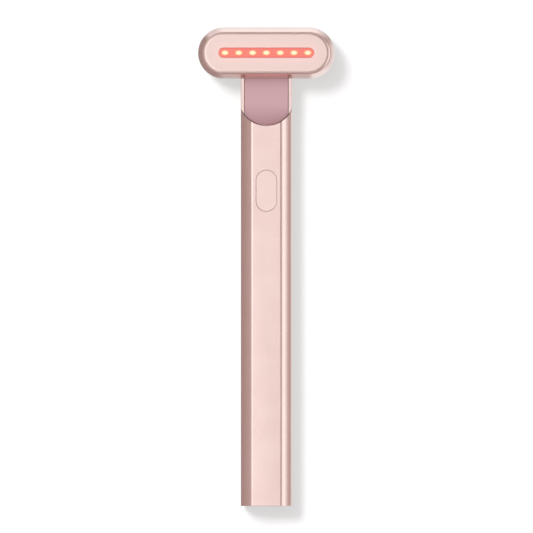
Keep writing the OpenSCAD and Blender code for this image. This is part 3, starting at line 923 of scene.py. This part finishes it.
@dataclass
class Head:
    """Shell, treatment plate and lit window, all on one spine; lengths in mm."""

    centre: tuple[float, float] = (0.0, 68.8)
    spine: float = 13.79
    inner_spine: float = 13.65
    outer: float = 8.2
    bottom: float = 5.6
    top: float = 14.4
    rim: float = 1.94
    side_share: float = 1.8 / 1.94
    rim_slope: float = 10.0
    slope_width: float = 0.145
    rim_crown: float = 0.78
    rim_drop: float = 7.0
    base_round: float = 1.2
    lip_round: float = 0.03
    recess: float = 6.4
    well: float = 5.8
    ledge: float = 13.0
    plate_roll: float = 5.2
    roll_tilt: float = 6.5
    roll_steps: int = 8
    plate_edge: float = 0.04
    plate: float = 6.32
    plate_bottom: float = 13.4
    plate_rings: tuple[float, float] = (0.05, 3.2)
    slot_spine: float = 13.75
    slot: float = 1.6
    slot_edge: float = 0.05
    slot_border: float = 0.15
    window: float = 1.55
    window_top: float = 14.35
    window_edge: float = 0.1
    window_flange: tuple[float, float] = (1.0, 0.45)
    crease: float = 50.0
    arc_steps: int = 64
    pieces: dict[str, bpy.types.Object] = field(default_factory=dict)

    def flank(self, steps: int = 16) -> list[Ring]:
        """Runs up the cup's flank and over its rim: a wide arc, a tight one and a slight slope.

        The rim is narrower along the sides than at the ends, so the rings change their spine.

        Args:
            steps: the number of steps on each arc.

        Returns:
            The rings from the widest line to the start of the slope.
        """
        slope, crown = math.radians(self.rim_slope), self.rim_crown
        width = self.rim - self.slope_width + crown * math.sin(slope)
        top = self.top - self.slope_width * math.tan(slope) + crown * (1 - math.cos(slope))
        drop = top - self.top + self.rim_drop
        wide = (width ** 2 + (drop - crown) ** 2 - crown ** 2) / (2 * (width - crown))
        meet = math.atan2(wide - width, drop - crown)
        line = []
        for step in range(steps + 1):
            tilt = math.pi / 2 + (meet - math.pi / 2) * step / steps
            line.append((wide * (1 - math.sin(tilt)), top - drop + wide * math.cos(tilt)))
        for step in range(1, steps + 1):
            tilt = meet + (slope - meet) * step / steps
            line.append((width - crown * math.sin(tilt), top - crown * (1 - math.cos(tilt))))
        return [Ring(self.spine - inset * (1 - self.side_share),
                     self.outer - inset * self.side_share, z) for inset, z in line]

    def shell(self) -> bpy.types.Object:
        """Builds the cup with its rounded rim.

        Returns:
            The new object.
        """
        spine = self.inner_spine
        floor = self.bottom + self.base_round
        rings = fillet(self.spine, self.outer, self.bottom, self.base_round, (1, -1), 8, True)
        rings += self.flank()
        rings += fillet(spine, self.recess, self.top, self.lip_round, (-1, 1), 2, True)
        rings += [Ring(spine, self.recess, self.ledge), Ring(spine, self.well, self.ledge),
                  Ring(spine, self.well, floor)]
        return StadiumLoft(self.centre, tuple(rings), arc_steps=self.arc_steps,
                           crease=self.crease).mesh("head_cup")

    def face(self) -> bpy.types.Object:
        """Builds the plate round its light slot.

        Returns:
            The new object.
        """
        tilt = math.radians(self.roll_tilt)
        low = self.top - self.plate_roll * (1 - math.cos(tilt))
        spine = self.inner_spine
        rings = [Ring(spine, self.plate, self.plate_bottom)]
        rings += fillet(spine, self.plate, low, self.plate_edge, (1, 1), 4)
        flat = self.plate - self.plate_edge - self.plate_roll * math.sin(tilt)
        for step in range(self.roll_steps):
            turn = tilt * (1 - step / self.roll_steps)
            rings.append(Ring(spine, flat + self.plate_roll * math.sin(turn),
                              self.top - self.plate_roll * (1 - math.cos(turn))))
        border, middle = self.plate_rings
        rings += [Ring(spine, radius, self.top) for radius in (flat, flat - border, middle)]
        rings += [Ring(self.slot_spine, self.slot + self.slot_border, self.top)]
        rings += fillet(self.slot_spine, self.slot, self.top, self.slot_edge, (-1, 1), 3, True)
        rings += [Ring(self.slot_spine, self.slot, self.plate_bottom)]
        return StadiumLoft(self.centre, tuple(rings), arc_steps=self.arc_steps,
                           crease=self.crease).mesh("treatment_plate", True)

    def lens(self) -> bpy.types.Object:
        """Builds the window with the flange that holds it.

        Returns:
            The new object.
        """
        spine = self.slot_spine
        wide, deep = self.window_flange
        rings = [Ring(spine, self.window + wide, self.plate_bottom - deep),
                 Ring(spine, self.window + wide, self.plate_bottom),
                 Ring(spine, self.window, self.plate_bottom)]
        rings += fillet(spine, self.window, self.window_top, self.window_edge, (1, 1), 4)
        rings += [Ring(spine, self.window - self.slot_border, self.window_top)]
        return StadiumLoft(self.centre, tuple(rings), side_steps=48).mesh("lit_window")

    def build(self) -> None:
        """Builds the three pieces."""
        self.pieces = {"shell": self.shell(), "face": self.face(), "lens": self.lens()}

    def dress(self) -> None:
        """Gives each its finish."""
        settle(self.pieces["shell"], ROSE_SHELL, Body.NECK, "head_shell")
        settle(self.pieces["face"], ROSE_PLATE, Body.NECK, "face_plate")
        settle(self.pieces["lens"], RED_WINDOW, Body.NECK, "light_window")


@dataclass
class PushButton:
    """The flush button; lengths in mm."""

    centre: tuple[float, float] = (0.02, 24.45)
    spine: float = 3.3
    radius: float = 3.31
    top: float = 12.0
    flange: float = 1.0
    flange_low: float = 10.3
    flange_top: float = 10.85
    edge: float = 0.05
    cap: bpy.types.Object | None = None

    def build(self) -> None:
        """Builds the cap with its flange."""
        wide = self.radius + self.flange
        rings = [Ring(self.spine, wide, self.flange_low), Ring(self.spine, wide, self.flange_top),
                 Ring(self.spine, self.radius, self.flange_top)]
        rings += fillet(self.spine, self.radius, self.top, self.edge, (1, 1), 4)
        rings += [Ring(self.spine, self.radius - 2 * self.edge, self.top)]
        loft = StadiumLoft(self.centre, tuple(rings), upright=True, side_steps=8)
        self.cap = loft.mesh("power_button")

    def dress(self) -> None:
        """Gives the cap its lacquer."""
        settle(self.cap, ROSE_MOULDING, Body.BUTTON, "button_cap")


@dataclass
class InnerWorks:
    """All nodes that keep their CAD shape."""

    replaced: tuple[str, ...] = ("handle_tube", "neck_frame", "neck_cover", "head_shell",
                                 "face_plate", "light_window", "button_cap")

    def dress(self) -> None:
        """Gives each kept node the finish of its own slot."""
        for part in frame["record"]["subparts"]:
            name = part["node"]
            if name in self.replaced:
                continue
            slots = frame["nodes"][name].material_slots
            for held in slots:
                held.link = "OBJECT"
                held.material = FINISHES[part["material_slot"]].material()
            log.info("%s keeps its shape, finish %s", name, part["material_slot"])


# Studio


@dataclass
class Studio:
    """Floor, sky, key light and camera; lengths in metres."""

    lens: float = 1200.0
    sensor: float = 36.0
    clip: tuple[float, float] = (0.05, 40.0)
    view_width: float = IMAGE_PIXELS * 0.3217 * MM
    view_centre: tuple[float, float] = (0.03 * MM, 0.064 * MM)
    focus_height: float = 12 * MM
    floor_size: float = 6.0
    lamp_place: Point = (-0.5, 0.5, 1.5)
    key_slope: float = 0.425
    key_strength: float = 1.5
    key_angle: float = 45.0
    paper_strength: float = 4.6
    paper_angle: float = 16.0
    paper_level: float = 0.23
    paper_lift: float = 0.555
    sky_strength: float = 2.0
    sky_warmth: Colour = (0.0, 0.37, 0.42)

    def camera(self) -> None:
        """Puts the camera straight above the wand."""
        data = bpy.data.cameras.new("studio_camera")
        data.lens, data.sensor_width = self.lens, self.sensor
        data.sensor_fit = "HORIZONTAL"
        data.clip_start, data.clip_end = self.clip
        made = bpy.data.objects.new("studio_camera", data)
        distance = self.view_width * self.lens / self.sensor
        made.location = (*self.view_centre, self.focus_height + distance)
        bpy.context.scene.collection.objects.link(made)
        bpy.context.scene.camera = made

    def floor(self) -> bpy.types.Object:
        """Lays the white floor, which keeps the shadow.

        Returns:
            The floor.
        """
        half = self.floor_size / 2
        work = bmesh.new()
        work.faces.new([work.verts.new(p) for p in (
            (-half, -half, 0), (half, -half, 0), (half, half, 0), (-half, half, 0))])
        mesh = bpy.data.meshes.new("studio_floor")
        work.to_mesh(mesh)
        work.free()
        made = bpy.data.objects.new("studio_floor", mesh)
        bpy.context.scene.collection.objects.link(made)
        made.visible_glossy = False
        material = bpy.data.materials.new("white_paper")
        material.use_nodes = True
        material.node_tree.nodes.clear()
        pen = NodePen(material.node_tree)
        paper = pen.put("BsdfDiffuse", Color=rgba((self.paper_level,) * 3))
        lift = pen.put("Emission", Color=WHITE)
        pen.feed(lift, "Strength", pen.math("MULTIPLY", self.seen(pen), self.paper_lift))
        total = pen.put("AddShader")
        pen.feed(total, 0, paper)
        pen.feed(total, 1, lift)
        pen.feed(pen.put("OutputMaterial"), "Surface", total)
        made.data.materials.append(material)
        return made

    def lamp(self, name: str, strength: float, angle: float) -> bpy.types.Object:
        """Hangs a lamp at the upper left.

        Args:
            name: the lamp's name.
            strength: its strength.
            angle: its width as seen from the wand, in degrees.

        Returns:
            The lamp.
        """
        data = bpy.data.lights.new(name, "SUN")
        data.energy, data.angle = strength, math.radians(angle)
        made = bpy.data.objects.new(name, data)
        down = Vector((self.key_slope, -self.key_slope, -1.0))
        made.rotation_euler = down.to_track_quat("-Z", "Y").to_euler()
        made.location = self.lamp_place
        made.visible_glossy = False
        bpy.context.scene.collection.objects.link(made)
        return made

    def lights(self, floor: bpy.types.Object) -> None:
        """Hangs the soft key light, and the lamp that only the paper receives.

        Args:
            floor: the paper floor.
        """
        self.lamp("key_light", self.key_strength, self.key_angle)
        paper = self.lamp("paper_light", self.paper_strength, self.paper_angle)
        lit = bpy.data.collections.new("lit_paper")
        lit.objects.link(floor)
        paper.light_linking.receiver_collection = lit

    def sky(self) -> None:
        """Builds the soft boxes round the wand as a sky: a ramp of levels for each side."""
        world = bpy.data.worlds.new("soft_boxes")
        bpy.context.scene.world = world
        world.use_nodes = True
        world.node_tree.nodes.clear()
        pen = NodePen(world.node_tree)
        x, y, z = pen.axes(pen.put("TexCoord").outputs["Generated"])
        polar = pen.math("DIVIDE", pen.math("ARCCOSINE", z), math.pi)
        turn = pen.math("FRACT", pen.math("MULTIPLY_ADD", pen.math("ARCTAN2", y, x),
                                          0.5 / math.pi, 0.25))
        ramps = {side: self.ramp(pen, polar, stops) for side, stops in SKY.items()}
        colour = ramps[SKY_ROUND[0][1]]
        for (start, before), (end, after) in zip(SKY_ROUND, SKY_ROUND[1:]):
            if before != after:
                step = pen.fade(turn, (start, end), (0.0, 1.0), "LINEAR")
                colour = pen.mix(step, colour, ramps[after])
        light = pen.put("Background", Strength=self.sky_strength)
        pen.feed(light, "Color", colour)
        paper = pen.put("Background", Color=WHITE, Strength=1.0)
        choice = pen.put("MixShader")
        pen.feed(choice, 0, self.seen(pen))
        pen.feed(choice, 1, light)
        pen.feed(choice, 2, paper)
        pen.feed(pen.put("OutputWorld"), "Surface", choice)

    def seen(self, pen: NodePen) -> bpy.types.NodeSocket:
        """Tells the rays that reach the camera straight or through a clear piece.

        Args:
            pen: the node pen of the tree.

        Returns:
            A socket that is 1 for such rays.
        """
        path = pen.put("LightPath")
        return pen.math("ADD", path.outputs["Is Camera Ray"], path.outputs["Is Transmission Ray"])

    def ramp(self, pen: NodePen, polar: bpy.types.NodeSocket,
             stops: tuple[tuple[float, float], ...]) -> bpy.types.NodeSocket:
        """Builds one side's ramp.

        Args:
            pen: the world's node pen.
            polar: the angle from straight up, from 0 to 1 for half a turn.
            stops: surface tilts in degrees with the level that such a surface mirrors.

        Returns:
            The ramp's colour socket.
        """
        node = pen.put("ValToRGB")
        node.color_ramp.interpolation = "LINEAR"
        elements = node.color_ramp.elements
        while len(elements) > 1:
            elements.remove(elements[-1])
        for number, (tilt, level) in enumerate(stops):
            place = min(tilt / 90, 1.0)
            stop = elements[0] if number == 0 else elements.new(place)
            stop.position = place
            warm = max(0.0, 1.0 - level)
            stop.color = rgba(tuple(level * (1 - share * warm) / self.sky_strength
                                    for share in self.sky_warmth))
        pen.feed(node, 0, polar)
        return node.outputs[0]

    def build(self) -> None:
        """Builds the whole studio."""
        bpy.context.scene.view_settings.view_transform = "Standard"
        self.camera()
        self.lights(self.floor())
        self.sky()
        log.info("studio stands")


# For each side, surface tilts in degrees and the level that such a surface mirrors.
SKY = {
    "left": ((0, 1.25), (0.9, 1.22), (2.2, 1.62), (4.2, 1.62), (6.0, 0.68), (8, 0.57),
             (15, 0.52), (26, 0.49), (37, 0.46), (51, 0.43), (60, 0.41), (90, 0.36)),
    "right": ((0, 1.25), (0.8, 1.2), (1.8, 0.42), (3.5, 0.36), (7.0, 0.46), (10, 0.98),
              (13, 1.14), (17, 1.2), (22, 1.15), (27.5, 1.02), (33, 0.82), (39.5, 0.67),
              (46, 0.57), (53, 0.48), (60, 0.52), (68, 0.74), (76, 0.85), (90, 0.9)),
    "up": ((0, 1.25), (0.8, 1.2), (2, 0.36), (14, 0.34), (20, 0.75), (28, 1.08),
           (45, 1.12), (60, 1.12), (75, 1.02), (80, 0.98), (90, 0.35)),
    "up_left": ((0, 1.25), (0.8, 1.25), (2.0, 1.6), (4.2, 1.5), (6.0, 0.6), (8, 0.4),
                (14, 0.36), (20, 0.6), (28, 0.9), (45, 0.92), (60, 0.86), (75, 0.78), (90, 0.7)),
    "up_right": ((0, 1.25), (0.8, 1.2), (2, 0.42), (8, 0.38), (30, 0.40), (60, 0.46),
                 (75, 0.5), (90, 0.55)),
    "down_right": ((0, 1.25), (0.8, 1.2), (2, 0.40), (8, 0.34), (22, 0.34), (32, 0.6),
                   (40, 0.88), (58, 0.95), (75, 0.95), (90, 0.92)),
    "down": ((0, 1.25), (0.8, 1.2), (2.6, 0.42), (5, 0.36), (22, 0.34), (35, 0.55),
             (60, 0.60), (90, 0.58)),
}
# The sides round the wand, by shares of a turn from its tail, anticlockwise.
SKY_ROUND = ((0.0, "down"), (0.03, "down_right"), (0.115, "down_right"), (0.175, "right"),
             (0.29, "right"), (0.35, "up_right"), (0.456, "up"), (0.51, "up"),
             (0.556, "up_left"), (0.605, "up_left"), (0.644, "left"), (0.95, "left"),
             (1.0, "down"))


def main() -> None:
    """Builds the wand's looks in order and reports each piece."""
    logging.basicConfig(level=logging.INFO, format="%(name)s: %(message)s")
    Studio().build()
    for group in (Handle(), Neck(), Head(), PushButton()):
        group.build()
        group.dress()
    InnerWorks().dress()


if __name__ == "__main__":
    main()
